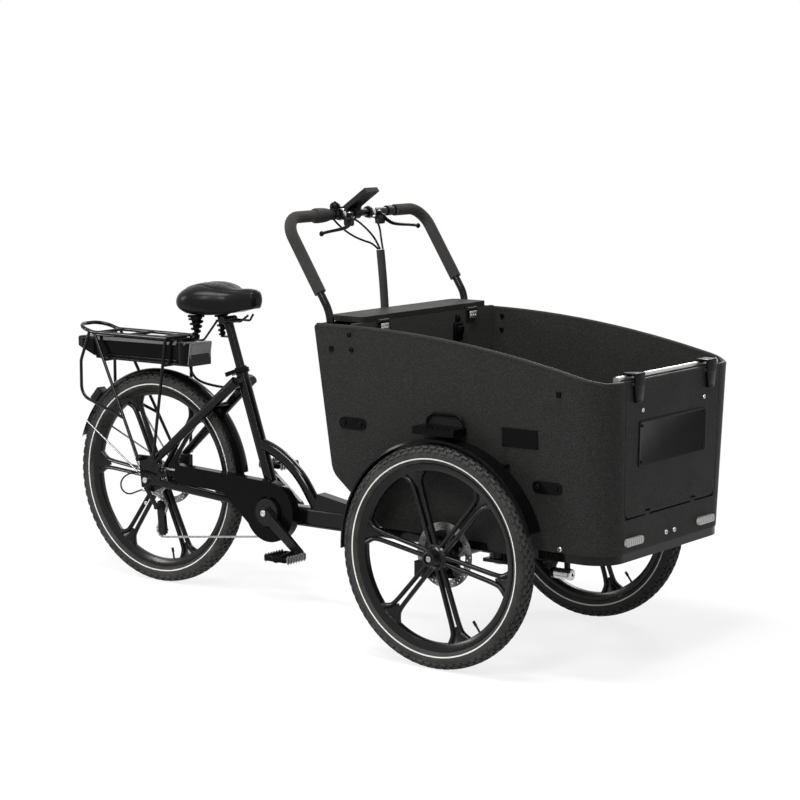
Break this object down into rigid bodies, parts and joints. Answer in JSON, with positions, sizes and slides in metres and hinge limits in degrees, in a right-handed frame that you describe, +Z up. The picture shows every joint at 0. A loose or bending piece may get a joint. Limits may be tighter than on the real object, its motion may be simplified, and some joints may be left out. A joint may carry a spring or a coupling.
{
  "type": "cargo tricycle",
  "caption": "Front-box cargo tricycle with pivot steering, drop-down box door, hinged storage lid, cast wheels, rear rack battery and sprung saddle.",
  "frame": {"origin": "on the ground under the middle of the whole length and width", "axes": "+X forward towards the cargo box, +Y to the rider's left, +Z up"},
  "size_m": [2.1815, 0.864, 1.2627],
  "materials": {
    "frame_black": "gloss black paint",
    "box_panel": "fine-grained charcoal, matte",
    "trim_black": "matte black",
    "gloss_black": "gloss black",
    "tyre": "black rubber with a white stripe",
    "rubber": "soft black",
    "foam": "dark foam",
    "leather": "glossy black",
    "steel": "bright steel",
    "chain_steel": "oiled steel",
    "alloy": "satin",
    "cast_black": "satin black"
  },
  "bodies": {
    "rear_frame": {"main_frame": "frame_black", "bottom_bracket_cups": "steel", "rear_axle": "steel", "rear_brake_caliper": "trim_black", "rear_derailleur": "gloss_black", "chain": "chain_steel", "chain_guard": "gloss_black", "rear_mudguard": "gloss_black", "rear_rack": "frame_black", "frame_cables": "rubber", "seat_clamp": "gloss_black"},
    "battery": {"battery_case": "gloss_black"},
    "seat_lever": {"seat_clamp_lever": "gloss_black"},
    "saddle_post": {"seat_post": "frame_black", "saddle": "leather", "saddle_rails": "frame_black", "saddle_springs": "gloss_black"},
    "crank": {"crank_arm_right": "cast_black", "crank_arm_left": "cast_black", "chainring": "cast_black"},
    "pedal_r": {"pedal_right": "trim_black"},
    "pedal_l": {"pedal_left": "trim_black"},
    "rear_wheel": {"rear_tyre": "tyre", "rear_cast_wheel": "cast_black", "rear_brake_disc": "steel"},
    "freewheel": {"freewheel_sprockets": "chain_steel"},
    "jockey_upper": {"jockey_wheel_upper": "trim_black"},
    "jockey_lower": {"jockey_wheel_lower": "trim_black"},
    "front_carriage": {"front_subframe": "frame_black", "steering_pin": "steel", "front_axles": "steel", "front_brake_calipers": "trim_black", "front_mudguards": "trim_black", "mudguard_steps": "rubber", "box_side_right": "box_panel", "box_side_left": "box_panel", "box_front_panel": "box_panel", "front_crossbar": "frame_black", "box_rear_panel": "box_panel", "storage_partition": "box_panel", "box_floor": "box_panel", "box_hinges": "steel", "box_hardware": "trim_black", "handlebar": "frame_black", "foam_grips": "foam", "bar_fittings": "trim_black", "control_cables": "rubber"},
    "front_wheel_r": {"front_tyre_right": "tyre", "front_cast_wheel_right": "cast_black", "front_brake_disc_right": "steel"},
    "front_wheel_l": {"front_tyre_left": "tyre", "front_cast_wheel_left": "cast_black", "front_brake_disc_left": "steel"},
    "front_door": {"box_front_door": "box_panel"},
    "latch_r": {"door_latch_right": "rubber"},
    "latch_l": {"door_latch_left": "rubber"},
    "lid": {"storage_lid": "box_panel"},
    "shifter": {"twist_shifter": "rubber"},
    "lever_r": {"brake_lever_right": "gloss_black"},
    "lever_l": {"brake_lever_left": "gloss_black"}
  },
  "joints": [
    {"name": "steering", "type": "hinge", "parent": "rear_frame", "child": "front_carriage", "pos_m": [0.51674, 0, 0.272], "axis": [0, 0, 1], "range_deg": [-40, 40]},
    {"name": "front_wheel_right_spin", "type": "hinge", "parent": "front_carriage", "child": "front_wheel_r", "pos_m": [0.57674, -0.3895, 0.305], "axis": [0, 1, 0], "continuous": true},
    {"name": "front_wheel_left_spin", "type": "hinge", "parent": "front_carriage", "child": "front_wheel_l", "pos_m": [0.57674, 0.3895, 0.305], "axis": [0, 1, 0], "continuous": true},
    {"name": "rear_wheel_spin", "type": "hinge", "parent": "rear_frame", "child": "rear_wheel", "pos_m": [-0.76826, 0, 0.332], "axis": [0, 1, 0], "continuous": true},
    {"name": "crank_spin", "type": "hinge", "parent": "rear_frame", "child": "crank", "pos_m": [-0.28126, 0, 0.282], "axis": [0, 1, 0], "continuous": true},
    {"name": "freewheel_spin", "type": "hinge", "parent": "rear_frame", "child": "freewheel", "pos_m": [-0.76826, -0.0484, 0.332], "axis": [0, 1, 0], "continuous": true},
    {"name": "jockey_upper_spin", "type": "hinge", "parent": "rear_frame", "child": "jockey_upper", "pos_m": [-0.73026, -0.0484, 0.249], "axis": [0, 1, 0], "continuous": true},
    {"name": "jockey_lower_spin", "type": "hinge", "parent": "rear_frame", "child": "jockey_lower", "pos_m": [-0.72326, -0.0484, 0.176], "axis": [0, 1, 0], "continuous": true},
    {"name": "pedal_right_spin", "type": "hinge", "parent": "crank", "child": "pedal_r", "pos_m": [-0.14914, -0.147, 0.17502], "axis": [0, 1, 0], "continuous": true},
    {"name": "pedal_left_spin", "type": "hinge", "parent": "crank", "child": "pedal_l", "pos_m": [-0.41337, 0.147, 0.38898], "axis": [0, 1, 0], "continuous": true},
    {"name": "seat_height", "type": "slide", "parent": "rear_frame", "child": "saddle_post", "axis": [-0.3256, 0, 0.9455], "range_m": [-0.008, 0.1]},
    {"name": "seat_lever_turn", "type": "hinge", "parent": "rear_frame", "child": "seat_lever", "pos_m": [-0.4641, -0.034, 0.68327], "axis": [0.3256, 0, -0.9455], "range_deg": [0, 120]},
    {"name": "battery_slide", "type": "slide", "parent": "rear_frame", "child": "battery", "axis": [-1, 0, 0], "range_m": [0, 0.5]},
    {"name": "lid_hinge", "type": "hinge", "parent": "front_carriage", "child": "lid", "pos_m": [0.26674, 0, 0.908], "axis": [0, 1, 0], "range_deg": [0, 100]},
    {"name": "door_hinge", "type": "hinge", "parent": "front_carriage", "child": "front_door", "pos_m": [1.06097, 0, 0.442], "axis": [0, 1, 0], "range_deg": [0, 95]},
    {"name": "latch_right_hinge", "type": "hinge", "parent": "front_door", "child": "latch_r", "pos_m": [1.07726, -0.19, 0.79208], "axis": [0, -1, 0], "range_deg": [0, 150]},
    {"name": "latch_left_hinge", "type": "hinge", "parent": "front_door", "child": "latch_l", "pos_m": [1.07726, 0.19, 0.79208], "axis": [0, -1, 0], "range_deg": [0, 150]},
    {"name": "shifter_twist", "type": "hinge", "parent": "front_carriage", "child": "shifter", "pos_m": [0.00174, -0.144, 1.188], "axis": [0, 1, 0], "range_deg": [-70, 70]},
    {"name": "brake_lever_right_hinge", "type": "hinge", "parent": "front_carriage", "child": "lever_r", "pos_m": [0.03574, -0.07, 1.186], "axis": [0, 0, -1], "range_deg": [0, 16], "stiffness_Nm_per_rad": 1, "springref_deg": -8.59},
    {"name": "brake_lever_left_hinge", "type": "hinge", "parent": "front_carriage", "child": "lever_l", "pos_m": [0.03574, 0.07, 1.186], "axis": [0, 0, 1], "range_deg": [0, 16], "stiffness_Nm_per_rad": 1, "springref_deg": -8.59}
  ],
  "couplings": [
    {"joint": "freewheel_spin", "follows": "crank_spin", "ratio": 1.9},
    {"joint": "jockey_upper_spin", "follows": "crank_spin", "ratio": -3.2003},
    {"joint": "jockey_lower_spin", "follows": "crank_spin", "ratio": 3.2003}
  ]
}
